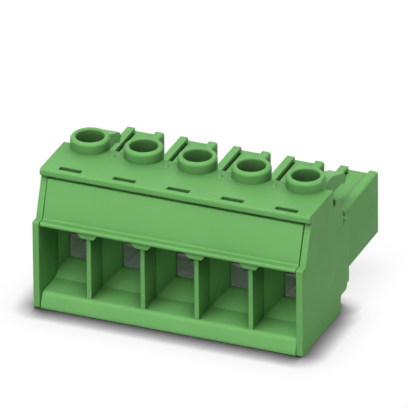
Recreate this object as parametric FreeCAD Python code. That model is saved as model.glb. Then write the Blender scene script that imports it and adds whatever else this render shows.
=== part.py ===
import FreeCAD, Part
import math
import os
from FreeCAD import Vector

# Pluggable screw terminal block, five poles. Millimetres, +Z up.
# The origin is the middle of the overall box, at the face it stands on.
# X runs along the row of poles, the wire side faces -Y and the mating side +Y.
# Names that end in AT are distances back from the front edge of the end walls.

# Overall
POLES = 5
PITCH = 10.16
DEPTH = 39.8
COLLAR_TOP = 27.9
SEAM = 0.15
SLIP = 0.05
PAST = 1.0

# Deck and end walls
WALL = 1.2
DECK_TOP = 25.65
DECK_THICK = 1.45
DECK_BACK_MARGIN = 0.2
DECK_EDGE_ROUND = 0.2
BEAD_AT = 3.6
BEAD_ROUND = 0.45
SLOPE_FOOT_AT = 1.65
SLOPE_HEAD_AT = 3.95
STEP_TOP = 16.9
STEP_ROUND = 0.3

# Rear of the end walls
SLIT = 1.2
SLIT_DEPTH = 3.55
TAB_DEPTH = 3.1
TAB_TOP = 22.15
TAB_SLOPE = 1.15
TAB_ROUND = 0.2
TAB_LEAN = 0.6
NOTCH = 0.9
NOTCH_ROUND = 0.2
NOTCH_DEPTH = 1.0
REAR_WALL_AT = 22.05
REAR_WALL_TOP = 17.1
REAR_WALL_ROUND = 1.0

# Foot of the end walls, and the rear underside
FOOT_BACK_AT = 18.0
FOOT_HEIGHT = 3.1
HEEL_AT = 21.15
HEEL_ROUND = 0.9
REAR_UNDER = 4.15

# Clamping screw, M4
SCREW_AT = 14.45
THREAD_RADIUS = 2.0
THREAD_CLEARANCE = 0.05
SHANK_CLEARANCE = 0.15
HEAD_LEDGE = 0.16
HEAD_HEIGHT = 2.1
HEAD_ROUND = 0.3
HEAD_CLEARANCE = 0.12
HEAD_PLAY = 0.25
SLOT_WIDTH = 0.9
SLOT_DEPTH = 1.1
TIP_CHAMFER = 0.4

# Screw collars
COLLAR_RADIUS = 3.52
COLLAR_ROUND = 0.65
BORE_RADIUS = 2.5
BORE_CHAMFER = 0.25
COLLAR_FLAT = 3.33

# Mating chambers
CHAMBER_HALF = 3.55
CHAMBER_UNDER = 4.5
CHAMBER_TOP = 16.17
CHAMBER_WALL = 1.25
CHAMBER_FLOOR = 2.3
CHAMBER_ROOF = 1.57
CHAMBER_FRONT_WALL = 1.1
CHAMBER_ROUND = 0.5
CHAMBER_DRAFT = 0.3
RAIL_HEIGHT = 0.6
RAIL_WIDTH = 1.5
RAIL_ROUND = 0.15
RAIL_GROOVE = 0.4
GROOVE_STOP = 1.0
RIB_WIDTH = 1.75
RIB_INNER_ROUND = 0.3
RIB_OUTER_ROUND = 0.45
MOUTH_FLARE = 0.5
NECK_WALL = 1.6
NECK_ROOF = 1.2

# Trough for the rim of the header
TROUGH_WIDTH = 4.9
TROUGH_FLOOR = 12.2

# Contact: a flat bar, then a fork for the mating pin
BAR_THICK = 0.6
BAR_HALF = 2.65
BAR_SETBACK = 0.15
FORK_HALF = 1.8
FORK_OPEN = 2.6
FORK_PLAY = 0.5
FORK_STRAIGHT = 4.0
FORK_RECESS = 2.8
PINCH_BACK = 2.5
PINCH_GAP = 1.0
TIP_OPEN = 0.85
TINE_SLIT = 0.5

# Contact spring
SPRING_THICK = 0.35
SPRING_BAND = 3.5
SPRING_SETBACK = 1.6
SPRING_PAST_PINCH = 1.5
SPRING_LIFT = 0.6
SPRING_LAP = 0.5

# Rising clamp
WIRE_GAP = 3.8
CLOSED_GAP = 0.4
DROP = 1.5
SLEEVE_INNER_HALF = 2.75
SLEEVE_OPEN = 7.5
SLEEVE_WALL = 0.6
SLEEVE_LENGTH = 6.0
SLEEVE_FLOOR_THICK = 1.1
SLEEVE_ROOF_THICK = 2.2
SLEEVE_CORNER = 0.5
SERRATION = 0.2
SERRATIONS = 4
SERRATION_MARGIN = 0.4
CLAMP_CLEARANCE = 0.2
CLAMP_FRONT_GAP = 0.1
CLAMP_BACK_WALL = 1.25
SHELF_THICK = 1.5
SHELF_COVER = 0.3

# Pull arms on the end collars
ARM_INSET = 0.55
ARM_WIDTH = 3.05
ARM_UNDER = 21.4
ARM_THICK = 3.5
ARM_TIP_THICK = 1.45
ARM_NOSE_RISE = 0.3
ARM_HOOK_DROP = 0.75
ARM_END_AT = 27.35
ARM_KNEE_TO_END = 6.45
ARM_NECK_TO_END = 2.45
ARM_TIP_TO_END = 0.95
ARM_HOOK_TO_END = 0.8
ARM_ROUND = 0.2
ARM_ROOT = 1.2
ARM_ROOT_ROUND = 1.2

# Latch windows and pips on the deck
WINDOW_LENGTH = 4.15
WINDOW_DEPTH = 1.1
WINDOW_AT = 4.5
WINDOW_ASIDE = 0.2
PIP_AT = 12.4
PIP_RADIUS = 0.5
PIP_HEIGHT = 0.32

# Wire entry frame
PANEL = 1.35
PANEL_GAP = 0.5
LIP_AT = 0.1
LIP_HEIGHT = 0.8
LIP_ROUND = 0.35
LIP_DEPTH = 2.1
COVE = 0.5
CEILING = 1.3
CEILING_ROUND = 0.3
SILL_AT = 0.05
SILL_BAND = 0.65
SILL_LEAN = 0.75
SILL_TOP = 2.95
SILL_ROUND = 1.0
FIN = 0.85
FIN_AT = 1.1
FIN_ROUND = 0.15
FUNNEL_AT = 6.4
FUNNEL_THROAT = 0.9
FUNNEL_INSET = 0.05
FUNNEL_ROUND = 0.3
FUNNEL_STEP = 0.12
TOOTH_TOP_HALF = 2.0
TOOTH_FOOT_HALF = 1.2
TOOTH_HEIGHT = 1.0
TOOTH_DEPTH = 1.1
TOOTH_ROUND = 0.15
HOOK_LENGTH = 3.6
HOOK_THICK = 0.8
HOOK_SINK = 1.25
HOOK_BARB = 0.3
HOOK_ROUND = 0.15
HOOK_ROOT = 1.5

# Places that follow from the sizes
FRONT = -DEPTH / 2
HALF_LENGTH = POLES * PITCH / 2
INSIDE = HALF_LENGTH - WALL
FRAME_HALF = INSIDE - SEAM
POLE_X = [(i - (POLES - 1) / 2) * PITCH for i in range(POLES)]
BOUNDARY_X = [x + PITCH / 2 for x in POLE_X[:-1]]

DECK_UNDER = DECK_TOP - DECK_THICK
DECK_BACK_AT = SCREW_AT + DECK_BACK_MARGIN
LIP_UNDER = STEP_TOP - LIP_HEIGHT
CEILING_UNDER = STEP_TOP - CEILING

CAVITY_HALF = CHAMBER_HALF - CHAMBER_WALL
CAVITY_FLOOR = CHAMBER_UNDER + CHAMBER_FLOOR
CAVITY_ROOF = CHAMBER_TOP - CHAMBER_ROOF
FORK_AXIS = (CAVITY_FLOOR + CAVITY_ROOF) / 2
BAR_UNDER = FORK_AXIS - FORK_OPEN / 2 - BAR_THICK
BAR_TOP = BAR_UNDER + BAR_THICK

SLEEVE_FRONT_AT = SCREW_AT - SLEEVE_LENGTH / 2
SLEEVE_BACK_AT = SCREW_AT + SLEEVE_LENGTH / 2
SLEEVE_HALF = SLEEVE_INNER_HALF + SLEEVE_WALL
SLEEVE_FLOOR = BAR_UNDER - WIRE_GAP
SLEEVE_UNDER = SLEEVE_FLOOR - SLEEVE_FLOOR_THICK
SLEEVE_ROOF = SLEEVE_FLOOR + SLEEVE_OPEN
SLEEVE_TOP = SLEEVE_ROOF + SLEEVE_ROOF_THICK
RISE = WIRE_GAP - CLOSED_GAP

CLAMP_HALF = SLEEVE_HALF + CLAMP_CLEARANCE
CLAMP_BACK_AT = SLEEVE_BACK_AT + CLAMP_CLEARANCE
CLAMP_FLOOR = SLEEVE_UNDER - DROP - CLAMP_CLEARANCE
CLAMP_TOP = SLEEVE_TOP + RISE + CLAMP_CLEARANCE
BODY_FRONT_AT = SLEEVE_FRONT_AT - CLAMP_FRONT_GAP
BODY_BACK_AT = CLAMP_BACK_AT + CLAMP_BACK_WALL
BODY_SHELF = CLAMP_TOP + SHELF_COVER
HEAD_SEAT = CLAMP_TOP + SHELF_THICK
HEAD_UNDER = HEAD_SEAT + SLIP
HEAD_TOP = HEAD_UNDER + HEAD_HEIGHT
HEAD_ROOM_TOP = HEAD_TOP + HEAD_PLAY
HEAD_RADIUS = BORE_RADIUS + HEAD_LEDGE

TROUGH_BACK_AT = BODY_BACK_AT + TROUGH_WIDTH
CAVITY_FRONT_AT = BODY_BACK_AT + NECK_WALL
ROOM_AT = TROUGH_BACK_AT + CHAMBER_FRONT_WALL
FORK_BACK_AT = ROOM_AT + FORK_PLAY
FORK_TIP_AT = DEPTH - FORK_RECESS
FORK_PINCH_AT = FORK_TIP_AT - PINCH_BACK
SPRING_BAND_AT = FORK_BACK_AT + SPRING_SETBACK
SPRING_BAND_END = SPRING_BAND_AT + SPRING_BAND

FRAME_BACK_AT = BODY_FRONT_AT - SLIP
FUNNEL_TO = FRAME_BACK_AT - FUNNEL_THROAT
FUNNEL_HALF = SLEEVE_INNER_HALF - FUNNEL_INSET
FUNNEL_FLOOR = SLEEVE_FLOOR + FUNNEL_INSET
FUNNEL_ROOF = SLEEVE_ROOF - FUNNEL_INSET


def box(x0, x1, at0, at1, z0, z1):
    """A block between two X values, two distances back from the front and two heights."""
    corner = Vector(x0, FRONT + at0, z0)
    return Part.makeBox(x1 - x0, at1 - at0, z1 - z0, corner)


def post(x, at, radius, z0, z1):
    """An upright cylinder."""
    return Part.makeCylinder(radius, z1 - z0, Vector(x, FRONT + at, z0))


def rim(shape, z):
    """The round edges of an upright cylinder at one height."""
    return [edge for edge in shape.Edges
            if edge.isClosed() and abs(edge.BoundBox.ZMin - z) + abs(edge.BoundBox.ZMax - z) < SLIP]


def rounded_wire(corners):
    """A closed wire through corners (point, radius), each with its own round."""
    starts, ends, arcs = [], [], {}
    count = len(corners)
    for i, (corner, radius) in enumerate(corners):
        if radius == 0:
            starts.append(corner)
            ends.append(corner)
            continue
        before = (corners[i - 1][0] - corner).normalize()
        after = (corners[(i + 1) % count][0] - corner).normalize()
        half_angle = before.getAngle(after) / 2
        reach = radius / math.tan(half_angle)
        middle = corner + (before + after).normalize() * (radius / math.sin(half_angle) - radius)
        starts.append(corner + before * reach)
        ends.append(corner + after * reach)
        arcs[i] = Part.Arc(starts[i], middle, ends[i]).toShape()
    loop = []
    for i in range(count):
        if i in arcs:
            loop.append(arcs[i])
        following = starts[(i + 1) % count]
        if not ends[i].isEqual(following, 1e-6):
            loop.append(Part.makeLine(ends[i], following))
    return Part.Wire(loop)


def side_profile(points, x0, x1):
    """Points (at, z) or (at, z, round), extruded along the row of poles."""
    corners = [(Vector(x0, FRONT + p[0], p[1]), p[2] if len(p) > 2 else 0) for p in points]
    return Part.Face(rounded_wire(corners)).extrude(Vector(x1 - x0, 0, 0))


def end_profile(points, at0, at1):
    """Points (x, z) or (x, z, round), extruded from front to back."""
    corners = [(Vector(p[0], FRONT + at0, p[1]), p[2] if len(p) > 2 else 0) for p in points]
    return Part.Face(rounded_wire(corners)).extrude(Vector(0, at1 - at0, 0))


def upright_rectangle(x, half, at, z0, z1):
    """A rectangle that faces the mating side, as a wire."""
    corners = [(x - half, z0), (x + half, z0), (x + half, z1), (x - half, z1), (x - half, z0)]
    return Part.makePolygon([Vector(cx, FRONT + at, cz) for cx, cz in corners])


def end_wall(x0, x1):
    """One end wall with its sloped front, rear slit, tab and low rear part."""
    tab_front = DECK_BACK_AT + SLIT
    tab_back = tab_front + TAB_DEPTH
    tab_foot = tab_back + TAB_LEAN
    outline = [
        (0, 0, STEP_ROUND),
        (FOOT_BACK_AT, 0),
        (FOOT_BACK_AT, FOOT_HEIGHT),
        (HEEL_AT, FOOT_HEIGHT, HEEL_ROUND),
        (HEEL_AT, REAR_UNDER),
        (REAR_WALL_AT, REAR_UNDER),
        (REAR_WALL_AT, REAR_WALL_TOP, REAR_WALL_ROUND),
        (tab_foot + NOTCH, REAR_WALL_TOP, NOTCH_ROUND),
        (tab_foot, REAR_WALL_TOP - NOTCH_DEPTH, NOTCH_ROUND),
        (tab_back, TAB_TOP, TAB_ROUND),
        (tab_front, TAB_TOP + TAB_SLOPE, TAB_ROUND),
        (tab_front, DECK_TOP - SLIT_DEPTH),
        (DECK_BACK_AT, DECK_TOP - SLIT_DEPTH),
        (DECK_BACK_AT, DECK_TOP, DECK_EDGE_ROUND),
        (BEAD_AT, DECK_TOP, BEAD_ROUND),
        (BEAD_AT, DECK_UNDER, BEAD_ROUND),
        (SLOPE_HEAD_AT + BEAD_ROUND, DECK_UNDER),
        (SLOPE_FOOT_AT, STEP_TOP),
        (0, STEP_TOP, STEP_ROUND),
    ]
    return side_profile(outline, x0, x1)


def deck():
    """The top plate with a rounded bead along its front edge."""
    outline = [
        (BEAD_AT, DECK_UNDER, BEAD_ROUND),
        (DECK_BACK_AT, DECK_UNDER),
        (DECK_BACK_AT, DECK_TOP, DECK_EDGE_ROUND),
        (BEAD_AT, DECK_TOP, BEAD_ROUND),
    ]
    return side_profile(outline, -INSIDE, INSIDE)


def body():
    """The block that holds the clamps, stepped down behind the deck, with its foot back to the heel."""
    outline = [
        (BODY_FRONT_AT, 0),
        (HEEL_AT, 0, STEP_ROUND),
        (HEEL_AT, REAR_UNDER),
        (REAR_WALL_AT, REAR_UNDER),
        (REAR_WALL_AT, TROUGH_FLOOR),
        (BODY_BACK_AT, TROUGH_FLOOR),
        (BODY_BACK_AT, BODY_SHELF, STEP_ROUND),
        (DECK_BACK_AT, BODY_SHELF),
        (DECK_BACK_AT, DECK_UNDER + DECK_THICK / 2),
        (BODY_FRONT_AT, DECK_UNDER + DECK_THICK / 2),
    ]
    return side_profile(outline, -INSIDE, INSIDE)


def cheek(side):
    """The web that ties an end wall's rear part to the chamber beside it."""
    inner = POLE_X[-1] + CAVITY_HALF + CHAMBER_WALL / 2
    x0, x1 = (inner, INSIDE) if side > 0 else (-INSIDE, -inner)
    return box(x0, x1, BODY_BACK_AT - PAST, REAR_WALL_AT, REAR_UNDER + PAST, TROUGH_FLOOR)


def chamber(x):
    """One mating chamber with a guide rail on the left, a rib on the right and a drafted underside."""
    left, right = x - CHAMBER_HALF, x + CHAMBER_HALF
    rail_right = left + RAIL_WIDTH
    rib_left = right - RIB_WIDTH
    rail_top = CHAMBER_TOP + RAIL_HEIGHT
    groove_foot = CHAMBER_TOP - RAIL_HEIGHT
    section = [
        (left, CHAMBER_UNDER, CHAMBER_ROUND),
        (left, rail_top, RAIL_ROUND),
        (rail_right, rail_top, RAIL_ROUND),
        (rail_right, CHAMBER_TOP),
        (rib_left, CHAMBER_TOP),
        (rib_left, rail_top, RIB_INNER_ROUND),
        (right, rail_top, RIB_OUTER_ROUND),
        (right, CHAMBER_UNDER, CHAMBER_ROUND),
    ]
    groove = box(rail_right, rail_right + RAIL_GROOVE, BODY_BACK_AT, DEPTH - GROOVE_STOP, groove_foot, rail_top)
    draft = [(BODY_BACK_AT, CHAMBER_UNDER), (DEPTH, CHAMBER_UNDER), (DEPTH, CHAMBER_UNDER + CHAMBER_DRAFT)]
    return end_profile(section, BODY_BACK_AT, DEPTH).cut([groove, side_profile(draft, left, right)])


def chamber_cavity(x):
    """The hollow for the contact, with a low neck under the trough and a flared mouth."""
    neck = box(x - CAVITY_HALF, x + CAVITY_HALF, CAVITY_FRONT_AT, FORK_BACK_AT,
               CAVITY_FLOOR, TROUGH_FLOOR - NECK_ROOF)
    room = box(x - CAVITY_HALF, x + CAVITY_HALF, ROOM_AT, DEPTH, CAVITY_FLOOR, CAVITY_ROOF)
    inner = upright_rectangle(x, CAVITY_HALF, DEPTH - MOUTH_FLARE, CAVITY_FLOOR, CAVITY_ROOF)
    outer = upright_rectangle(x, CAVITY_HALF + MOUTH_FLARE, DEPTH,
                              CAVITY_FLOOR - MOUTH_FLARE, CAVITY_ROOF + MOUTH_FLARE)
    return [neck, room, Part.makeLoft([inner, outer], True, True)]


def collar(x):
    """The round tower over one clamping screw. The end ones are flat on their outer side."""
    tower = post(x, SCREW_AT, COLLAR_RADIUS, BODY_SHELF - PAST, COLLAR_TOP)
    tower = tower.makeFillet(COLLAR_ROUND, rim(tower, COLLAR_TOP))
    limit = POLE_X[-1] + COLLAR_FLAT
    room = box(-limit, limit, 0, DEPTH, 0, COLLAR_TOP + PAST)
    return tower.common(room)


def screw_passage(x):
    """Driver bore, head room and shank hole above one clamp."""
    bore = post(x, SCREW_AT, BORE_RADIUS, HEAD_ROOM_TOP - SLIP, COLLAR_TOP)
    entry = Part.makeCone(BORE_RADIUS, BORE_RADIUS + BORE_CHAMFER, BORE_CHAMFER,
                          Vector(x, FRONT + SCREW_AT, COLLAR_TOP - BORE_CHAMFER))
    head_room = post(x, SCREW_AT, HEAD_RADIUS + HEAD_CLEARANCE, HEAD_SEAT, HEAD_ROOM_TOP)
    shank = post(x, SCREW_AT, THREAD_RADIUS + SHANK_CLEARANCE, CLAMP_TOP - PAST, HEAD_UNDER)
    return [bore, entry, head_room, shank]


def clamp_room(x):
    """The shaft that the sleeve rises and drops in, open towards the wire side."""
    return box(x - CLAMP_HALF, x + CLAMP_HALF, BODY_FRONT_AT - PAST, CLAMP_BACK_AT,
               CLAMP_FLOOR, CLAMP_TOP)


def bar_passage(x):
    """The slot that holds the flat bar of the contact between clamp and chamber."""
    half = BAR_HALF + SLIP
    return box(x - half, x + half, CLAMP_BACK_AT - PAST, CAVITY_FRONT_AT + SLIP,
               BAR_UNDER - SLIP, BAR_TOP + SLIP)


def deck_window(x):
    """The slot that one snap hook stands in."""
    middle = x + WINDOW_ASIDE
    return box(middle - WINDOW_LENGTH / 2, middle + WINDOW_LENGTH / 2, WINDOW_AT, WINDOW_AT + WINDOW_DEPTH,
               DECK_UNDER - PAST, DECK_TOP + PAST)


def pip(x):
    """A small dome on the deck at the line between two poles."""
    centre = Vector(x, FRONT + PIP_AT, DECK_TOP + PIP_HEIGHT - PIP_RADIUS)
    return Part.makeSphere(PIP_RADIUS, centre)


def pull_arm(side):
    """A latch finger behind an end collar, with a sloping back and a hooked nose."""
    start = SCREW_AT + BORE_RADIUS + HEAD_LEDGE
    outline = [
        (start, BODY_SHELF - PAST),
        (BODY_BACK_AT - ARM_ROOT_ROUND / 2, BODY_SHELF - PAST),
        (BODY_BACK_AT + ARM_ROOT, ARM_UNDER, ARM_ROOT_ROUND),
        (ARM_END_AT - ARM_NECK_TO_END, ARM_UNDER),
        (ARM_END_AT - ARM_HOOK_TO_END, ARM_UNDER - ARM_HOOK_DROP, ARM_ROUND),
        (ARM_END_AT, ARM_UNDER + ARM_NOSE_RISE, ARM_ROUND),
        (ARM_END_AT - ARM_TIP_TO_END, ARM_UNDER + ARM_TIP_THICK, ARM_ROUND),
        (ARM_END_AT - ARM_KNEE_TO_END, ARM_UNDER + ARM_THICK),
        (start, ARM_UNDER + ARM_THICK),
    ]
    inner = POLE_X[-1] - ARM_INSET
    x0 = inner if side > 0 else -inner - ARM_WIDTH
    return side_profile(outline, x0, x0 + ARM_WIDTH)


def housing():
    """The moulded body that carries every other piece."""
    arms = [pull_arm(side) for side in (-1, 1)]
    trough = box(-INSIDE, INSIDE, BODY_BACK_AT, TROUGH_BACK_AT, TROUGH_FLOOR, DECK_TOP)
    shapes = [body(), deck(), end_wall(-HALF_LENGTH, -INSIDE), end_wall(INSIDE, HALF_LENGTH)]
    shapes += [cheek(side) for side in (-1, 1)]
    shapes += [chamber(x) for x in POLE_X]
    shapes += [collar(x) for x in POLE_X]
    shapes += [pip(x) for x in BOUNDARY_X]
    solid = shapes[0].multiFuse(shapes[1:]).cut(trough).multiFuse(arms)
    cuts = []
    for x in POLE_X:
        cuts += chamber_cavity(x) + screw_passage(x)
        cuts += [clamp_room(x), bar_passage(x), deck_window(x)]
    return solid.cut(cuts).removeSplitter()


def panel():
    """The sloping front, the bead and ledge at its foot and the ceiling behind it."""
    head = DECK_UNDER - PANEL_GAP
    outline = [
        (LIP_AT, LIP_UNDER, LIP_ROUND),
        (LIP_AT, STEP_TOP, LIP_ROUND),
        (SLOPE_FOOT_AT, STEP_TOP, COVE),
        (SLOPE_HEAD_AT, head),
        (SLOPE_HEAD_AT + PANEL, head),
        (SLOPE_FOOT_AT + PANEL, STEP_TOP),
        (FRAME_BACK_AT, STEP_TOP),
        (FRAME_BACK_AT, CEILING_UNDER),
        (LIP_AT + LIP_DEPTH + CEILING, CEILING_UNDER, CEILING_ROUND),
        (LIP_AT + LIP_DEPTH, LIP_UNDER),
    ]
    return side_profile(outline, -FRAME_HALF, FRAME_HALF)


def sill():
    """The front sill, the wire floor and the ramp up to the clamps."""
    outline = [
        (SILL_AT, 0),
        (SILL_AT, SILL_BAND),
        (SILL_AT + SILL_LEAN, SILL_TOP, SILL_ROUND),
        (FUNNEL_AT, SILL_TOP, FUNNEL_ROUND),
        (FUNNEL_TO, FUNNEL_FLOOR, FUNNEL_ROUND),
        (FRAME_BACK_AT, FUNNEL_FLOOR),
        (FRAME_BACK_AT, 0),
    ]
    return side_profile(outline, -FRAME_HALF, FRAME_HALF)


def fin(x):
    """The thin wall between two wire openings, with a softened front edge."""
    blade = box(x - FIN / 2, x + FIN / 2, FIN_AT, FUNNEL_AT + PAST, SILL_TOP - PAST, STEP_TOP - LIP_ROUND)
    front = [edge for edge in blade.Edges
             if edge.BoundBox.YMax < FRONT + FIN_AT + SLIP and edge.BoundBox.ZLength > FIN]
    return blade.makeFillet(FIN_ROUND, front)


def tooth(x):
    """The small keystone tooth under the lip at a fin."""
    foot = LIP_UNDER - TOOTH_HEIGHT
    root = STEP_TOP - LIP_HEIGHT / 2
    section = [
        (x - TOOTH_TOP_HALF, root),
        (x - TOOTH_TOP_HALF, LIP_UNDER),
        (x - TOOTH_FOOT_HALF, foot, TOOTH_ROUND),
        (x + TOOTH_FOOT_HALF, foot, TOOTH_ROUND),
        (x + TOOTH_TOP_HALF, LIP_UNDER),
        (x + TOOTH_TOP_HALF, root),
    ]
    start = LIP_AT + LIP_ROUND
    return end_profile(section, start, start + TOOTH_DEPTH)


def funnel(x):
    """The tapering wire entry of one pole and its straight throat."""
    mouth = upright_rectangle(x, (PITCH - FIN) / 2 - FUNNEL_STEP, FUNNEL_AT, SILL_TOP, CEILING_UNDER)
    throat = upright_rectangle(x, FUNNEL_HALF, FUNNEL_TO, FUNNEL_FLOOR, FUNNEL_ROOF)
    straight = box(x - FUNNEL_HALF, x + FUNNEL_HALF, FUNNEL_TO, BODY_FRONT_AT,
                   FUNNEL_FLOOR, FUNNEL_ROOF)
    return [Part.makeLoft([mouth, throat], True, True), straight]


def guide_wall():
    """The rear wall of the frame that the wire funnels pass through."""
    wall = box(-FRAME_HALF, FRAME_HALF, FUNNEL_AT, FRAME_BACK_AT, SILL_TOP - PAST, STEP_TOP - CEILING / 2)
    cuts = []
    for x in POLE_X:
        cuts += funnel(x)
    return wall.cut(cuts)


def hook(x):
    """A snap hook that stands in a deck window."""
    front = WINDOW_AT + (WINDOW_DEPTH - HOOK_THICK) / 2
    back = front + HOOK_THICK
    root = DECK_UNDER - HOOK_ROOT
    top = DECK_TOP - HOOK_SINK
    outline = [
        (front, root),
        (front, top, HOOK_ROUND),
        (back - HOOK_BARB, top),
        (back, top - HOOK_BARB),
        (back, root),
    ]
    middle = x + WINDOW_ASIDE
    return side_profile(outline, middle - HOOK_LENGTH / 2, middle + HOOK_LENGTH / 2)


def wire_entry_frame():
    """The snapped-in front that guides the wires and keeps the clamps in."""
    shapes = [panel(), sill(), guide_wall()]
    shapes += [fin(x) for x in BOUNDARY_X]
    shapes += [tooth(x) for x in BOUNDARY_X]
    shapes += [hook(x) for x in POLE_X]
    return shapes[0].multiFuse(shapes[1:]).removeSplitter()


def sleeve_section(x, half, z0, z1, corner):
    """A rounded rectangle across the sleeve."""
    return [(x - half, z0, corner), (x + half, z0, corner), (x + half, z1, corner), (x - half, z1, corner)]


def clamp_sleeve(x):
    """The cage that the screw lifts, threaded through its thick top."""
    outer = sleeve_section(x, SLEEVE_HALF, SLEEVE_UNDER, SLEEVE_TOP, SLEEVE_CORNER)
    inner = sleeve_section(x, SLEEVE_INNER_HALF, SLEEVE_FLOOR, SLEEVE_ROOF, SLEEVE_CORNER / 2)
    cuts = [end_profile(inner, SLEEVE_FRONT_AT - PAST, SLEEVE_BACK_AT + PAST)]
    cuts.append(post(x, SCREW_AT, THREAD_RADIUS + THREAD_CLEARANCE, SLEEVE_ROOF - PAST, SLEEVE_TOP + PAST))
    half = SLEEVE_INNER_HALF - SERRATION_MARGIN
    for i in range(SERRATIONS):
        at = SLEEVE_FRONT_AT + SLEEVE_LENGTH * (i + 1) / (SERRATIONS + 1)
        groove = [(at - 2 * SERRATION, SLEEVE_FLOOR + SERRATION), (at, SLEEVE_FLOOR - SERRATION),
                  (at + 2 * SERRATION, SLEEVE_FLOOR + SERRATION)]
        cuts.append(side_profile(groove, x - half, x + half))
    return end_profile(outer, SLEEVE_FRONT_AT, SLEEVE_BACK_AT).cut(cuts)


def clamp_screw(x):
    """A slotted screw whose head is trapped under the driver bore."""
    tip = BAR_TOP + SLIP
    shank = post(x, SCREW_AT, THREAD_RADIUS, tip, HEAD_UNDER)
    shank = shank.makeChamfer(TIP_CHAMFER, rim(shank, tip))
    head = post(x, SCREW_AT, HEAD_RADIUS, HEAD_UNDER, HEAD_TOP)
    head = head.makeFillet(HEAD_ROUND, rim(head, HEAD_TOP))
    slot = box(x - SLOT_WIDTH / 2, x + SLOT_WIDTH / 2, SCREW_AT - COLLAR_RADIUS, SCREW_AT + COLLAR_RADIUS,
               HEAD_TOP - SLOT_DEPTH, HEAD_TOP + PAST)
    return shank.fuse(head).cut(slot).removeSplitter()


def mirrored(points):
    """The same outline on the other side of the fork's axis."""
    return [(at, 2 * FORK_AXIS - z) for at, z in points]


def blade_outline():
    """The lower spring blade of the fork, from its web to its open tip."""
    pinch = FORK_AXIS - PINCH_GAP / 2
    bend = FORK_BACK_AT + FORK_STRAIGHT
    return [
        (FORK_BACK_AT, BAR_UNDER),
        (bend, BAR_UNDER),
        (FORK_PINCH_AT, pinch - BAR_THICK),
        (FORK_TIP_AT, pinch - BAR_THICK - TIP_OPEN),
        (FORK_TIP_AT, pinch - TIP_OPEN),
        (FORK_PINCH_AT, pinch),
        (bend, BAR_TOP),
        (FORK_BACK_AT, BAR_TOP),
    ]


def contact(x):
    """Flat clamping bar that narrows into a fork for the mating pin."""
    web_back = FORK_BACK_AT + BAR_THICK
    web_top = 2 * FORK_AXIS - BAR_UNDER
    left, right = x - FORK_HALF, x + FORK_HALF
    bar = box(x - BAR_HALF, x + BAR_HALF, SLEEVE_FRONT_AT + BAR_SETBACK, CAVITY_FRONT_AT, BAR_UNDER, BAR_TOP)
    tail = box(left, right, CAVITY_FRONT_AT - PAST, web_back, BAR_UNDER, BAR_TOP)
    web = box(left, right, FORK_BACK_AT, web_back, BAR_UNDER, web_top)
    lower = side_profile(blade_outline(), left, right)
    upper = side_profile(mirrored(blade_outline()), left, right)
    slit = box(x - TINE_SLIT / 2, x + TINE_SLIT / 2, web_back + PAST, FORK_TIP_AT + PAST,
               BAR_UNDER - PAST, web_top + PAST)
    return bar.multiFuse([tail, web, lower, upper]).removeSplitter().cut(slit)


def spring_leaf_outline():
    """The leaf that presses on the lower blade."""
    pinch = FORK_AXIS - PINCH_GAP / 2 - BAR_THICK - SLIP
    foot = BAR_UNDER - SLIP
    start = SPRING_BAND_END - SPRING_LAP
    tip_at = FORK_PINCH_AT + SPRING_PAST_PINCH
    return [
        (start, foot),
        (SPRING_BAND_END, foot),
        (FORK_PINCH_AT, pinch),
        (tip_at, pinch - SPRING_LIFT),
        (tip_at, pinch - SPRING_LIFT - SPRING_THICK),
        (FORK_PINCH_AT, pinch - SPRING_THICK),
        (SPRING_BAND_END, foot - SPRING_THICK),
        (start, foot - SPRING_THICK),
    ]


def contact_spring(x):
    """A steel band round the fork with a leaf above and below."""
    inner_half = FORK_HALF + SLIP
    outer_half = inner_half + SPRING_THICK
    foot = BAR_UNDER - SLIP
    top = 2 * FORK_AXIS - foot
    band = box(x - outer_half, x + outer_half, SPRING_BAND_AT, SPRING_BAND_END,
               foot - SPRING_THICK, top + SPRING_THICK)
    hollow = box(x - inner_half, x + inner_half, SPRING_BAND_AT - PAST, SPRING_BAND_END + PAST, foot, top)
    lower = side_profile(spring_leaf_outline(), x - FORK_HALF, x + FORK_HALF)
    upper = side_profile(mirrored(spring_leaf_outline()), x - FORK_HALF, x + FORK_HALF)
    return band.cut(hollow).multiFuse([lower, upper]).removeSplitter()


def write(name, shape):
    """One STEP file for each sub-part, as a single valid solid."""
    if len(shape.Solids) != 1 or not shape.isValid():
        raise ValueError(f"{name} has {len(shape.Solids)} solids, valid {shape.isValid()}")
    shape.Solids[0].exportStep(f"parts/{name}.step")


os.makedirs("parts", exist_ok=True)
write("housing", housing())
write("wire_entry_frame", wire_entry_frame())
for number, pole in enumerate(POLE_X, start=1):
    write(f"contact_{number}", contact(pole))
    write(f"contact_spring_{number}", contact_spring(pole))
    write(f"clamp_sleeve_{number}", clamp_sleeve(pole))
    write(f"clamp_screw_{number}", clamp_screw(pole))
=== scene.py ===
import math

import bpy
from mathutils import Matrix, Vector


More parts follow.
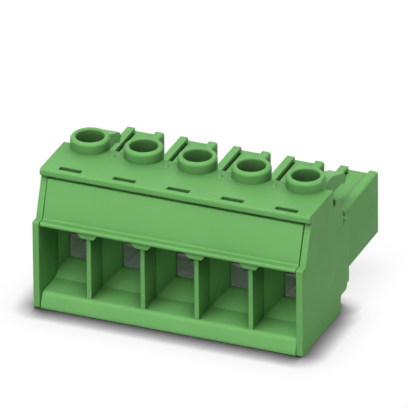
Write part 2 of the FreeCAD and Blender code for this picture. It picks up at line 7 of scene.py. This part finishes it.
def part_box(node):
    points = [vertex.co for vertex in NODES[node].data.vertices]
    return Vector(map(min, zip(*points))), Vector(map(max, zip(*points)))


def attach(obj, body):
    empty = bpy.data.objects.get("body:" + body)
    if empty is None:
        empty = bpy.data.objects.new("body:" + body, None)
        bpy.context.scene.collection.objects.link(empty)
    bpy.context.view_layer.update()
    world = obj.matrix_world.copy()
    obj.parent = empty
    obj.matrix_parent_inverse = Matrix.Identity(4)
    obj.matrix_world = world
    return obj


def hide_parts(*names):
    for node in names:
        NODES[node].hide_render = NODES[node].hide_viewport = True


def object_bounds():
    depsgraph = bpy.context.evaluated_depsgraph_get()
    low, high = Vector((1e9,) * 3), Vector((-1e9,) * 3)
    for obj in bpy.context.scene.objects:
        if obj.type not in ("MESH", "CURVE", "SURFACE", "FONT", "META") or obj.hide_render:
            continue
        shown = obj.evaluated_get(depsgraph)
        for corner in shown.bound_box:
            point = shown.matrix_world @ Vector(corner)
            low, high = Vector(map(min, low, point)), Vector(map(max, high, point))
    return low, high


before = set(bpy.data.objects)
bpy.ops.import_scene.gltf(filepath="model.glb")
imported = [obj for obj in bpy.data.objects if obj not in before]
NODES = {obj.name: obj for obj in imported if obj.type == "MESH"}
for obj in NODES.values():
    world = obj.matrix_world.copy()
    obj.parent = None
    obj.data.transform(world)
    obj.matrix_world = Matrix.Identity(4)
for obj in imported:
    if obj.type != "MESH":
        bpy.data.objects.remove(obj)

bl_info = {
    "name": "Screw terminal plug",
    "version": (1, 0, 0),
    "blender": (4, 5, 0),
    "location": "3D Viewport > Sidebar > Terminal",
    "description": "Looks and stage of a five-pole pluggable screw terminal block",
    "category": "Object",
}

# Metres everywhere, as in the frame. A length written in millimetres is multiplied by MM.
MM = 0.001
CAD_BOX = [list(corner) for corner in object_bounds()]
POLES = sum(1 for name in NODES if name.startswith("clamp_screw_"))
NUMBERS = range(1, POLES + 1)
MIDDLE_POLE = (POLES + 1) // 2

# Copies of CAD nodes: points this near become one point, and faces this close in angle become one.
MERGE = 0.001 * MM
FLAT_ANGLE = math.radians(0.4)

# Edges sharper than these are rounded: stamped metal, the sleeves, a screw's head. A finished screw
# shows its edges sharp from METAL_ANGLE on.
METAL_ANGLE = math.radians(35)
SLEEVE_ANGLE = math.radians(60)
HEAD_ANGLE = math.radians(40)

# Clamping screw: sides of its round forms, and the small forms of its head and tip.
HEAD_SIDES = 72
SHANK_SIDES = 48
THREAD_STEPS = 36
HEAD_ROUND = 0.16 * MM
TIP_HEIGHT = 0.6 * MM
TIP_CHAMFER = 0.35 * MM
JOIN_OVERLAP = 0.2 * MM

# Noise in the finishes: the values that most of it lies between, scales per metre, and stretch along
# each axis.
NOISE_RANGE = (0.3, 0.7)
DRIFT_SCALE = 90.0
FLOW_SCALE = 420.0
GRAIN_SCALE = 5200.0
STREAK_SCALE = 5000.0
PATCH_SCALE = 700.0
FLOW_STRETCH = (0.25, 1.0, 1.0)
ROLLING_STRETCH = (1.0, 0.06, 1.0)

# Share of the slow drift in the mottle, where flow marks give the rest, and roughness of the smoothest
# and the roughest places as factors.
DRIFT_SHARE = 0.65
SMOOTHEST = 0.88
ROUGHEST = 1.14
STREAK_ROUGHEST = 1.5

# Relief: strength of the bumps, and depth of the metal's streaks.
GRAIN_STRENGTH = 0.5
STREAK_STRENGTH = 0.4
STREAK_DEPTH = 0.003 * MM

# Rays per point that look for what darkens it: walls near the green, for the painted shade in its hollows,
# and the block above the floor.
PAINTED_SHADE_RAYS = 8
FLOOR_RAYS = 16

# Camera: width of its frame in millimetres, and how far it sees in metres.
SENSOR_WIDTH = 36.0
SIGHT = 100.0

WHITE = (1.0, 1.0, 1.0, 1.0)

# Each lamp: name, direction that its light comes from, brightness on a white face turned to it, and
# spread in degrees
LAMPS = (
    ("top", (0.0, -0.43, 0.90), 0.82, 50),
    ("front", (0.0, -1.0, 0.1), 0.28, 25),
    ("side", (1.0, 0.25, 0.3), 0.2, 30),
    ("back", (-0.6, 1.0, 0.1), 0.16, 40),
)


def number(name, default, description, **more):
    """A number. Limits, unit and subtype are given by name."""
    return bpy.props.FloatProperty(name=name, description=description, default=default, **more)


def length(name, default, description):
    """A length in metres."""
    return number(name, default, description, min=0.0, precision=6, unit="LENGTH", subtype="DISTANCE")


def share(name, default, description):
    """A number from 0 to 1."""
    return number(name, default, description, min=0.0, max=1.0, subtype="FACTOR")


def colour(name, default, description):
    """A linear colour."""
    return bpy.props.FloatVectorProperty(name=name, description=description, default=default, size=3,
                                         min=0.0, max=1.0, subtype="COLOR")


class MouldingSettings(bpy.types.PropertyGroup):
    """The two green mouldings."""

    green: colour("Green", (0.176, 0.472, 0.138), "Colour of the moulded plastic")
    mottle: share("Mottle", 0.05, "How much the colour drifts over the surface")
    roughness: share("Roughness", 0.55, "Roughness of the moulded surface")
    gloss: share("Gloss", 0.15, "Specular level of the plastic")
    # Painted shade: the green is made darker where walls of the same piece are near, in hollows and corners.
    hollows: share("Painted hollow shade", 1.0, "How much darker the green is in hollows")
    painted_shade_reach: length("Painted shade reach", 5.5 * MM, "How near a wall darkens the green")
    grain: length("Grain", 0.004 * MM, "Depth of the spark-eroded grain")
    edge: length("Edge", 0.11 * MM, "Width of the rounded mould edges")
    crisp: number("Crisp angle", math.radians(32), "Edges sharper than this are rounded", subtype="ANGLE")


class ClampSettings(bpy.types.PropertyGroup):
    """Clamping screws and rising sleeves."""

    zinc: colour("Zinc", (0.93, 0.94, 0.95), "Colour of the plated sleeve")
    screw: colour("Screw", (0.42, 0.43, 0.44), "Colour of the plated screw")
    pitch: length("Thread pitch", 0.7 * MM, "Lead of the M4 thread")
    crest: length("Crest radius", 2.0 * MM, "Outer radius of the thread")
    root: length("Root radius", 1.62 * MM, "Inner radius of the thread")
    neck: length("Neck", 0.5 * MM, "Plain length under the head")
    head_height: length("Head height", 2.1 * MM, "Height of the screw head")
    slot_width: length("Slot width", 0.9 * MM, "Width of the driver slot")
    slot_depth: length("Slot depth", 1.1 * MM, "Depth of the driver slot")
    edge: length("Edge", 0.08 * MM, "Width of the rounded edges of the sleeve")


class ContactSettings(bpy.types.PropertyGroup):
    """Contacts and their springs."""

    tin: colour("Tin", (0.22, 0.24, 0.20), "Colour of the tin-plated contact")
    spring: colour("Spring", (0.40, 0.41, 0.43), "Colour of the spring steel")
    edge: length("Edge", 0.06 * MM, "Width of the rounded stamped edges")


class StageSettings(bpy.types.PropertyGroup):
    """Floor, light and camera."""

    azimuth: number("Azimuth", 22.434, "Camera, degrees to the right of the front")
    elevation: number("Elevation", 27.757, "Camera, degrees above the floor")
    roll: number("Roll", -0.497, "Camera, degrees about its own line of sight")
    distance: length("Distance", 2170.7 * MM, "Camera to the point it looks at")
    lens: number("Lens", 1093.1, "Focal length in millimetres")
    aim: bpy.props.FloatVectorProperty(name="Aim", description="Point that the camera looks at", size=3,
                                       default=(-0.000823, -0.000702, 0.015702), precision=6, unit="LENGTH")
    ambient: number("Ambient", 0.12, "Strength of the sky on the object", min=0.0)
    touch: length("Contact shadow", 4.5 * MM, "Reach of the dark line where the block touches the floor")
    touch_depth: number("Contact depth", 2.6, "How dark the contact shadow is", min=0.0)
    halo: length("Soft shadow", 9.0 * MM, "Reach of the soft shadow round the block")
    halo_depth: number("Soft depth", 0.4, "How dark the soft shadow is", min=0.0)
    shadow_lean: bpy.props.FloatVectorProperty(name="Shadow lean", size=3, default=(-0.25, 0.9, 1.0),
                                               description="Where the light that the block hides comes from")
    floor_bounce: share("Floor bounce", 0.15, "How much light the floor gives back to the object")
    floor_half: length("Floor half width", 6.0, "Half the side of the floor")


class TerminalSettings(bpy.types.PropertyGroup):
    """All settings of the plug."""

    moulding: bpy.props.PointerProperty(type=MouldingSettings)
    clamp: bpy.props.PointerProperty(type=ClampSettings)
    contact: bpy.props.PointerProperty(type=ContactSettings)
    stage: bpy.props.PointerProperty(type=StageSettings)


def settings():
    """The scene's own copy of the settings."""
    return bpy.context.scene.terminal


def deselect():
    """Nothing selected, so that the next operator acts on one piece."""
    bpy.ops.object.select_all(action="DESELECT")


def work_on(piece):
    """One piece active and selected."""
    deselect()
    piece.select_set(True)
    bpy.context.view_layer.objects.active = piece


def add_object(name, data):
    """A new object in the scene, at the origin."""
    added = bpy.data.objects.new(name, data)
    bpy.context.scene.collection.objects.link(added)
    return added


def settle(piece):
    """The piece's place goes into its mesh."""
    work_on(piece)
    bpy.ops.object.transform_apply(location=True, rotation=True, scale=True)


def apply_modifiers(piece):
    """Every modifier of the piece applied, in order."""
    work_on(piece)
    for modifier in list(piece.modifiers):
        bpy.ops.object.modifier_apply(modifier=modifier.name)


def combine(piece, other, operation):
    """The other shape is joined to the piece or cut out of it, and then removed."""
    step = piece.modifiers.new("combine", "BOOLEAN")
    step.operation = operation
    step.object = other
    step.solver = "EXACT"
    apply_modifiers(piece)
    bpy.data.objects.remove(other)


def bevel_edges(piece, width, angle, segments):
    """A live bevel on the edges that are sharper than the angle."""
    bevel = piece.modifiers.new("rounded edges", "BEVEL")
    bevel.width = width
    bevel.segments = segments
    bevel.limit_method = "ANGLE"
    bevel.angle_limit = angle
    return bevel


def split_hollow_faces(piece):
    """Faces with hollows or holes become convex ones, so that a round beside them can't fold them."""
    work_on(piece)
    bpy.ops.object.mode_set(mode="EDIT")
    bpy.ops.mesh.select_all(action="SELECT")
    bpy.ops.mesh.vert_connect_concave()
    bpy.ops.object.mode_set(mode="OBJECT")


def merged_copy(node, name):
    """A free copy of a CAD node with its doubles merged and its flat faces in few convex pieces."""
    piece = add_object(name, NODES[node].data.copy())
    work_on(piece)
    bpy.ops.object.mode_set(mode="EDIT")
    bpy.ops.mesh.select_all(action="SELECT")
    bpy.ops.mesh.customdata_custom_splitnormals_clear()
    bpy.ops.mesh.remove_doubles(threshold=MERGE)
    bpy.ops.mesh.dissolve_limited(angle_limit=FLAT_ANGLE)
    bpy.ops.object.mode_set(mode="OBJECT")
    split_hollow_faces(piece)
    return piece


def round_edges(piece, width, angle, limited=False):
    """Edges sharper than the angle get a small round, and flat faces stay flat."""
    bevel = bevel_edges(piece, width, angle, segments=2)
    bevel.use_clamp_overlap = limited
    bevel.loop_slide = False
    apply_modifiers(piece)
    split_hollow_faces(piece)
    bpy.ops.object.shade_smooth_by_angle(angle=angle)
    weighted = piece.modifiers.new("flat faces", "WEIGHTED_NORMAL")
    weighted.keep_sharp = True
    apply_modifiers(piece)


def stand_for(piece, node, body, material):
    """The piece takes the node's place, its body and its finish."""
    piece.data.materials.clear()
    piece.data.materials.append(material)
    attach(piece, body)
    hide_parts(node)


def add_group(name, inputs, outputs):
    """An empty shader node group. Its inputs and outputs are given as names and kinds of sockets."""
    group = bpy.data.node_groups.new(name, "ShaderNodeTree")
    for way, sockets in (("INPUT", inputs), ("OUTPUT", outputs)):
        for socket, kind in sockets.items():
            group.interface.new_socket(name=socket, in_out=way, socket_type=f"NodeSocket{kind}")
    return group


def add_node(tree, kind, inputs, **options):
    """A node with its options and inputs set. An input that is given as a socket is linked to it."""
    node = tree.nodes.new(kind)
    for option, value in options.items():
        setattr(node, option, value)
    for key, value in inputs.items():
        if isinstance(value, bpy.types.NodeSocket):
            tree.links.new(value, node.inputs[key])
        else:
            node.inputs[key].default_value = value
    return node


def calculate(tree, operation, *values):
    """The result of a Math node on numbers and sockets."""
    return add_node(tree, "ShaderNodeMath", dict(enumerate(values)), operation=operation).outputs[0]


def noise(tree, place, scale, detail):
    """A 3D noise at a scale given per metre."""
    node = add_node(tree, "ShaderNodeTexNoise", {"Vector": place, "Scale": scale, "Detail": detail})
    return node.outputs["Fac"]


def stretched(tree, place, scale):
    """Coordinates scaled along each axis."""
    return add_node(tree, "ShaderNodeMapping", {"Vector": place, "Scale": scale}).outputs["Vector"]


def spread(tree, mask, low, high):
    """A noise mask stretched to run from low to high."""
    least, most = NOISE_RANGE
    node = add_node(tree, "ShaderNodeMapRange", {"Value": mask, "From Min": least, "From Max": most,
                                                 "To Min": low, "To Max": high})
    return node.outputs["Result"]


def toned(tree, tint, tone):
    """A colour made darker or lighter by a tone."""
    node = add_node(tree, "ShaderNodeVectorMath", {0: tint, "Scale": tone}, operation="SCALE")
    return node.outputs["Vector"]


def moulded_skin_and_shade():
    """Node group for moulded plastic: slow drift of tone, painted shade that darkens the green in hollows,
    flow marks and a fine grain.
    """
    found = bpy.data.node_groups.get("moulded skin and shade")
    if found:
        return found
    inputs = {"Position": "Vector", "Colour": "Color", "Mottle": "Float", "Roughness": "Float",
              "Painted hollow shade": "Float", "Reach": "Float"}
    outputs = {"Colour": "Color", "Roughness": "Float", "Grain": "Float"}
    group = add_group("moulded skin and shade", inputs, outputs)
    given = group.nodes.new("NodeGroupInput").outputs

    drift = noise(group, given["Position"], DRIFT_SCALE, detail=3.0)
    flow = noise(group, stretched(group, given["Position"], FLOW_STRETCH), FLOW_SCALE, detail=2.0)
    grain = noise(group, given["Position"], GRAIN_SCALE, detail=2.0)

    flow_part = calculate(group, "MULTIPLY", flow, 1 - DRIFT_SHARE)
    blend = calculate(group, "MULTIPLY_ADD", drift, DRIFT_SHARE, flow_part)
    dark = calculate(group, "SUBTRACT", 1.0, given["Mottle"])
    light = calculate(group, "ADD", 1.0, given["Mottle"])
    # Painted shade: occlusion from the piece's own walls darkens the green in hollows, corners and creases,
    # and the tone carries it with the random mottle.
    walls = add_node(group, "ShaderNodeAmbientOcclusion", {"Distance": given["Reach"]},
                     samples=PAINTED_SHADE_RAYS, only_local=True)
    painted_shade = calculate(group, "POWER", walls.outputs["AO"], given["Painted hollow shade"])
    tone = calculate(group, "MULTIPLY", spread(group, blend, dark, light), painted_shade)

    smooth = calculate(group, "MULTIPLY", given["Roughness"], SMOOTHEST)
    rough = calculate(group, "MULTIPLY", given["Roughness"], ROUGHEST)
    add_node(group, "NodeGroupOutput", {"Colour": toned(group, given["Colour"], tone),
                                        "Roughness": spread(group, flow, smooth, rough), "Grain": grain})
    return group


def plated_metal():
    """Node group for plated or drawn metal: streaks along the rolling direction and dull patches."""
    found = bpy.data.node_groups.get("plated metal")
    if found:
        return found
    inputs = {"Position": "Vector", "Colour": "Color", "Dullness": "Float", "Roughness": "Float"}
    outputs = {"Colour": "Color", "Roughness": "Float", "Streaks": "Float"}
    group = add_group("plated metal", inputs, outputs)
    given = group.nodes.new("NodeGroupInput").outputs

    streaks = noise(group, stretched(group, given["Position"], ROLLING_STRETCH), STREAK_SCALE, detail=3.0)
    patches = noise(group, given["Position"], PATCH_SCALE, detail=3.0)
    dull = calculate(group, "SUBTRACT", 1.0, given["Dullness"])
    tone = spread(group, patches, dull, 1.0)
    rough = calculate(group, "MULTIPLY", given["Roughness"], STREAK_ROUGHEST)
    add_node(group, "NodeGroupOutput", {"Colour": toned(group, given["Colour"], tone),
                                        "Roughness": spread(group, streaks, given["Roughness"], rough),
                                        "Streaks": streaks})
    return group


def start_material(name, group, values):
    """A material whose Principled shader takes colour and roughness from the group, set to its own values."""
    material = bpy.data.materials.new(name)
    material.use_nodes = True
    tree = material.node_tree
    shader = tree.nodes["Principled BSDF"]
    place = tree.nodes.new("ShaderNodeTexCoord").outputs["Object"]
    skin = add_node(tree, "ShaderNodeGroup", {"Position": place, **values}, node_tree=group)
    tree.links.new(skin.outputs["Colour"], shader.inputs["Base Color"])
    tree.links.new(skin.outputs["Roughness"], shader.inputs["Roughness"])
    return material, shader, skin


def add_bump(material, shader, height, distance, strength):
    """Fine relief from a height mask."""
    tree = material.node_tree
    bump = add_node(tree, "ShaderNodeBump", {"Height": height, "Distance": distance, "Strength": strength})
    tree.links.new(bump.outputs["Normal"], shader.inputs["Normal"])


def plastic(name):
    """Green moulded plastic, darkened by painted shade in its hollows."""
    moulding = settings().moulding
    values = {"Colour": (*moulding.green, 1.0), "Mottle": moulding.mottle, "Roughness": moulding.roughness,
              "Painted hollow shade": moulding.hollows, "Reach": moulding.painted_shade_reach}
    material, shader, skin = start_material(name, moulded_skin_and_shade(), values)
    shader.inputs["Specular IOR Level"].default_value = moulding.gloss
    add_bump(material, shader, skin.outputs["Grain"], moulding.grain, GRAIN_STRENGTH)
    return material


def metal(name, tint, roughness, dullness, shine):
    """Plated steel or tin-plated copper. A dull plating has a low shine."""
    values = {"Colour": (*tint, 1.0), "Roughness": roughness, "Dullness": dullness}
    material, shader, skin = start_material(name, plated_metal(), values)
    shader.inputs["Metallic"].default_value = shine
    add_bump(material, shader, skin.outputs["Streaks"], STREAK_DEPTH, STREAK_STRENGTH)
    return material


class TERMINAL_OT_housing(bpy.types.Operator):
    """Moulded housing with softened edges"""

    bl_idname = "terminal.housing"
    bl_label = "Housing"

    def execute(self, context):
        moulding = settings().moulding
        piece = merged_copy("housing", "moulded_housing")
        round_edges(piece, moulding.edge, moulding.crisp)
        stand_for(piece, "housing", "block", plastic("housing plastic"))
        return {"FINISHED"}


class TERMINAL_OT_entry_frame(bpy.types.Operator):
    """Snapped-in wire entry frame with softened edges"""

    bl_idname = "terminal.entry_frame"
    bl_label = "Wire entry frame"

    def execute(self, context):
        moulding = settings().moulding
        piece = merged_copy("wire_entry_frame", "moulded_entry_frame")
        round_edges(piece, moulding.edge, moulding.crisp)
        stand_for(piece, "wire_entry_frame", "block", plastic("frame plastic"))
        return {"FINISHED"}


def thread_rod(clamp, low, high):
    """A rod with a real helical thread between two heights, on the Z axis."""
    flat = clamp.pitch / 8
    start = low - clamp.pitch
    turns = math.ceil((high - start) / clamp.pitch) + 1
    deselect()
    bpy.ops.mesh.primitive_plane_add(size=clamp.pitch, location=(0, 0, start))
    rod = bpy.context.active_object
    rod.data.clear_geometry()
    profile = [(clamp.root, 0.0), (clamp.root, flat), (clamp.crest, (clamp.pitch - flat) / 2),
               (clamp.crest, (clamp.pitch + flat) / 2), (clamp.root, clamp.pitch - flat),
               (clamp.root, clamp.pitch)]
    rod.data.from_pydata([(x, 0.0, z) for x, z in profile], [(i, i + 1) for i in range(len(profile) - 1)], [])
    helix = rod.modifiers.new("helix", "SCREW")
    helix.axis = "Z"
    helix.screw_offset = clamp.pitch
    helix.iterations = turns
    helix.steps = THREAD_STEPS
    helix.render_steps = THREAD_STEPS
    helix.use_merge_vertices = True
    apply_modifiers(rod)
    settle(rod)
    bpy.ops.object.mode_set(mode="EDIT")
    bpy.ops.mesh.select_all(action="SELECT")
    bpy.ops.mesh.remove_doubles(threshold=MERGE)
    for height, below, above in ((low, True, False), (high, False, True)):
        bpy.ops.mesh.select_all(action="SELECT")
        bpy.ops.mesh.bisect(plane_co=(0, 0, height), plane_no=(0, 0, 1), use_fill=True,
                            clear_inner=below, clear_outer=above)
    bpy.ops.mesh.select_all(action="SELECT")
    bpy.ops.mesh.normals_make_consistent(inside=False)
    bpy.ops.object.mode_set(mode="OBJECT")
    return rod


def slotted_head(clamp, radius, low, high):
    """A cheese head with a driver slot and rounded rims, on the Z axis."""
    past_both_rims = 3 * radius
    deselect()
    bpy.ops.mesh.primitive_cylinder_add(vertices=HEAD_SIDES, radius=radius, depth=high - low,
                                        location=(0, 0, (low + high) / 2))
    head = bpy.context.active_object
    settle(head)
    deselect()
    bpy.ops.mesh.primitive_cube_add(size=1.0, location=(0, 0, high))
    cutter = bpy.context.active_object
    cutter.scale = (clamp.slot_width, past_both_rims, 2 * clamp.slot_depth)
    settle(cutter)
    combine(head, cutter, "DIFFERENCE")
    bevel_edges(head, HEAD_ROUND, HEAD_ANGLE, segments=3)
    apply_modifiers(head)
    return head


def make_screw(clamp, low, high, radius):
    """One clamping screw on the Z axis: head, plain neck, thread and turned tip."""
    under = high - clamp.head_height
    head = slotted_head(clamp, radius, under, high)
    rod = thread_rod(clamp, low + TIP_CHAMFER, under - clamp.neck)
    deselect()
    bpy.ops.mesh.primitive_cylinder_add(vertices=SHANK_SIDES, radius=clamp.root,
                                        depth=clamp.neck + 2 * JOIN_OVERLAP,
                                        location=(0, 0, under - clamp.neck / 2))
    neck = bpy.context.active_object
    settle(neck)
    deselect()
    bpy.ops.mesh.primitive_cone_add(vertices=SHANK_SIDES, radius1=clamp.root - TIP_CHAMFER,
                                    radius2=clamp.root, depth=TIP_HEIGHT,
                                    location=(0, 0, low + TIP_HEIGHT / 2))
    tip = bpy.context.active_object
    settle(tip)
    for extra in (rod, neck, tip):
        combine(head, extra, "UNION")
    work_on(head)
    bpy.ops.object.shade_smooth_by_angle(angle=METAL_ANGLE)
    return head


class TERMINAL_OT_clamp_screws(bpy.types.Operator):
    """Slotted clamping screws with a cut thread"""

    bl_idname = "terminal.clamp_screws"
    bl_label = "Clamp screws"

    def execute(self, context):
        clamp = settings().clamp
        steel = metal("screw steel", clamp.screw, roughness=0.3, dullness=0.2, shine=1.0)
        lowest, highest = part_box(f"clamp_screw_{MIDDLE_POLE}")
        radius = (highest.x - lowest.x) / 2
        master = make_screw(clamp, lowest.z, highest.z, radius)
        for pole in NUMBERS:
            node = f"clamp_screw_{pole}"
            low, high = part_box(node)
            middle = (low + high) / 2
            piece = add_object(f"screw_{pole}_steel", master.data.copy())
            piece.data.transform(Matrix.Translation((middle.x, middle.y, 0)))
            stand_for(piece, node, f"screw_{pole}", steel)
        bpy.data.objects.remove(master)
        return {"FINISHED"}


class TERMINAL_OT_clamp_sleeves(bpy.types.Operator):
    """Rising clamp sleeves in plated steel"""

    bl_idname = "terminal.clamp_sleeves"
    bl_label = "Clamp sleeves"

    def execute(self, context):
        clamp = settings().clamp
        steel = metal("clamp steel", clamp.zinc, roughness=0.5, dullness=0.1, shine=0.1)
        for pole in NUMBERS:
            node = f"clamp_sleeve_{pole}"
            piece = merged_copy(node, f"sleeve_{pole}_steel")
            round_edges(piece, clamp.edge, SLEEVE_ANGLE, limited=True)
            stand_for(piece, node, f"sleeve_{pole}", steel)
        return {"FINISHED"}


class TERMINAL_OT_contacts(bpy.types.Operator):
    """Tin-plated contacts with stamped edges"""

    bl_idname = "terminal.contacts"
    bl_label = "Contacts"

    def execute(self, context):
        contact = settings().contact
        tin = metal("contact tin", contact.tin, roughness=0.4, dullness=0.18, shine=0.8)
        for pole in NUMBERS:
            node = f"contact_{pole}"
            piece = merged_copy(node, f"contact_{pole}_tin")
            round_edges(piece, contact.edge, METAL_ANGLE)
            stand_for(piece, node, "block", tin)
        return {"FINISHED"}


class TERMINAL_OT_contact_springs(bpy.types.Operator):
    """Steel springs round the contacts"""

    bl_idname = "terminal.contact_springs"
    bl_label = "Contact springs"

    def execute(self, context):
        contact = settings().contact
        steel = metal("spring steel", contact.spring, roughness=0.28, dullness=0.15, shine=1.0)
        for pole in NUMBERS:
            node = f"contact_spring_{pole}"
            piece = merged_copy(node, f"contact_spring_{pole}_steel")
            round_edges(piece, contact.edge, METAL_ANGLE)
            stand_for(piece, node, "block", steel)
        return {"FINISHED"}


def seen_mask(tree):
    """1 for rays that see the background: camera, mirror and glass rays."""
    rays = tree.nodes.new("ShaderNodeLightPath").outputs
    seen = calculate(tree, "MAXIMUM", rays["Is Camera Ray"], rays["Is Glossy Ray"])
    return calculate(tree, "MAXIMUM", seen, rays["Is Transmission Ray"])


def finish_backdrop(tree, output, lighting, seen):
    """One shader for the rays that light the block, and another for those that see the background."""
    mix = add_node(tree, "ShaderNodeMixShader", {"Fac": seen_mask(tree), 1: lighting, 2: seen})
    add_node(tree, output, {"Surface": mix.outputs["Shader"]})


def shade(tree, reach, depth, lean):
    """White in the open and darker near the block, from the part of a leaning sky that the block hides."""
    sky = add_node(tree, "ShaderNodeCombineXYZ", dict(enumerate(Vector(lean).normalized())))
    hidden = add_node(tree, "ShaderNodeAmbientOcclusion",
                      {"Distance": reach, "Normal": sky.outputs["Vector"]}, samples=FLOOR_RAYS)
    return calculate(tree, "POWER", hidden.outputs["AO"], depth)


def floor_material(stage):
    """White floor that keeps the shadow: dark where the block touches it, soft round it."""
    material = bpy.data.materials.new("studio floor")
    material.use_nodes = True
    tree = material.node_tree
    tree.nodes.clear()
    touch = shade(tree, stage.touch, stage.touch_depth, stage.shadow_lean)
    halo = shade(tree, stage.halo, stage.halo_depth, stage.shadow_lean)
    shown = add_node(tree, "ShaderNodeEmission", {"Strength": calculate(tree, "MULTIPLY", touch, halo)})
    bounce = add_node(tree, "ShaderNodeBsdfDiffuse", {"Color": (*[stage.floor_bounce] * 3, 1.0)})
    finish_backdrop(tree, "ShaderNodeOutputMaterial", bounce.outputs["BSDF"], shown.outputs["Emission"])
    return material


def make_world(stage):
    """White to the camera and in reflections, dimmer as light."""
    world = bpy.data.worlds.new("studio")
    bpy.context.scene.world = world
    world.use_nodes = True
    tree = world.node_tree
    tree.nodes.clear()
    sky = add_node(tree, "ShaderNodeBackground", {"Color": WHITE, "Strength": stage.ambient})
    white = add_node(tree, "ShaderNodeBackground", {"Color": WHITE})
    finish_backdrop(tree, "ShaderNodeOutputWorld", sky.outputs["Background"], white.outputs["Background"])


def make_lamps():
    """Soft distant lamps."""
    for name, source, brightness, angle in LAMPS:
        lamp = bpy.data.lights.new(name, "SUN")
        lamp.energy = brightness * math.pi
        lamp.angle = math.radians(angle)
        holder = add_object(name, lamp)
        holder.rotation_euler = Vector(source).to_track_quat("Z", "Y").to_euler()


def make_camera(stage):
    """Long lens from the right front, a little above."""
    data = bpy.data.cameras.new("camera")
    data.lens = stage.lens
    data.sensor_width = SENSOR_WIDTH
    data.clip_end = SIGHT
    turn = Matrix.Rotation(math.radians(stage.azimuth), 4, "Z")
    tilt = Matrix.Rotation(math.radians(90 - stage.elevation), 4, "X")
    roll = Matrix.Rotation(math.radians(stage.roll), 4, "Z")
    look = turn @ tilt @ roll
    eye = Vector(stage.aim) + look @ Vector((0, 0, stage.distance))
    camera = add_object("camera", data)
    camera.matrix_world = Matrix.Translation(eye) @ look
    bpy.context.scene.camera = camera


class TERMINAL_OT_stage(bpy.types.Operator):
    """White floor, soft lamps and the camera"""

    bl_idname = "terminal.stage"
    bl_label = "Stage"

    def execute(self, context):
        stage = settings().stage
        context.scene.view_settings.view_transform = "Standard"
        deselect()
        bpy.ops.mesh.primitive_plane_add(size=2 * stage.floor_half, location=(0, 0, CAD_BOX[0][2]))
        floor = context.active_object
        floor.name = "floor"
        settle(floor)
        floor.data.materials.append(floor_material(stage))
        make_world(stage)
        make_lamps()
        make_camera(stage)
        return {"FINISHED"}


class TERMINAL_PT_panel(bpy.types.Panel):
    """Buttons and settings for the plug"""

    bl_label = "Screw terminal plug"
    bl_idname = "TERMINAL_PT_panel"
    bl_space_type = "VIEW_3D"
    bl_region_type = "UI"
    bl_category = "Terminal"

    def draw(self, context):
        layout = self.layout
        for operator in PIECES:
            layout.operator(operator.bl_idname, text=operator.bl_label)
        for name in ("moulding", "clamp", "contact", "stage"):
            group = getattr(context.scene.terminal, name)
            column = layout.box().column()
            column.label(text=name.capitalize())
            for key in group.bl_rna.properties.keys():
                if key not in ("rna_type", "name"):
                    column.prop(group, key)


SETTINGS = (MouldingSettings, ClampSettings, ContactSettings, StageSettings, TerminalSettings)
PIECES = (TERMINAL_OT_housing, TERMINAL_OT_entry_frame, TERMINAL_OT_clamp_screws, TERMINAL_OT_clamp_sleeves,
          TERMINAL_OT_contacts, TERMINAL_OT_contact_springs, TERMINAL_OT_stage)


def register():
    """Classes and the scene's settings."""
    for cls in SETTINGS + PIECES + (TERMINAL_PT_panel,):
        bpy.utils.register_class(cls)
    bpy.types.Scene.terminal = bpy.props.PointerProperty(type=TerminalSettings)


def unregister():
    """The reverse of register."""
    del bpy.types.Scene.terminal
    for cls in reversed(SETTINGS + PIECES + (TERMINAL_PT_panel,)):
        bpy.utils.unregister_class(cls)


def main():
    """Every piece in order, then the stage."""
    register()
    bpy.ops.terminal.housing()
    bpy.ops.terminal.entry_frame()
    bpy.ops.terminal.clamp_screws()
    bpy.ops.terminal.clamp_sleeves()
    bpy.ops.terminal.contacts()
    bpy.ops.terminal.contact_springs()
    bpy.ops.terminal.stage()


if __name__ == "__main__":
    main()
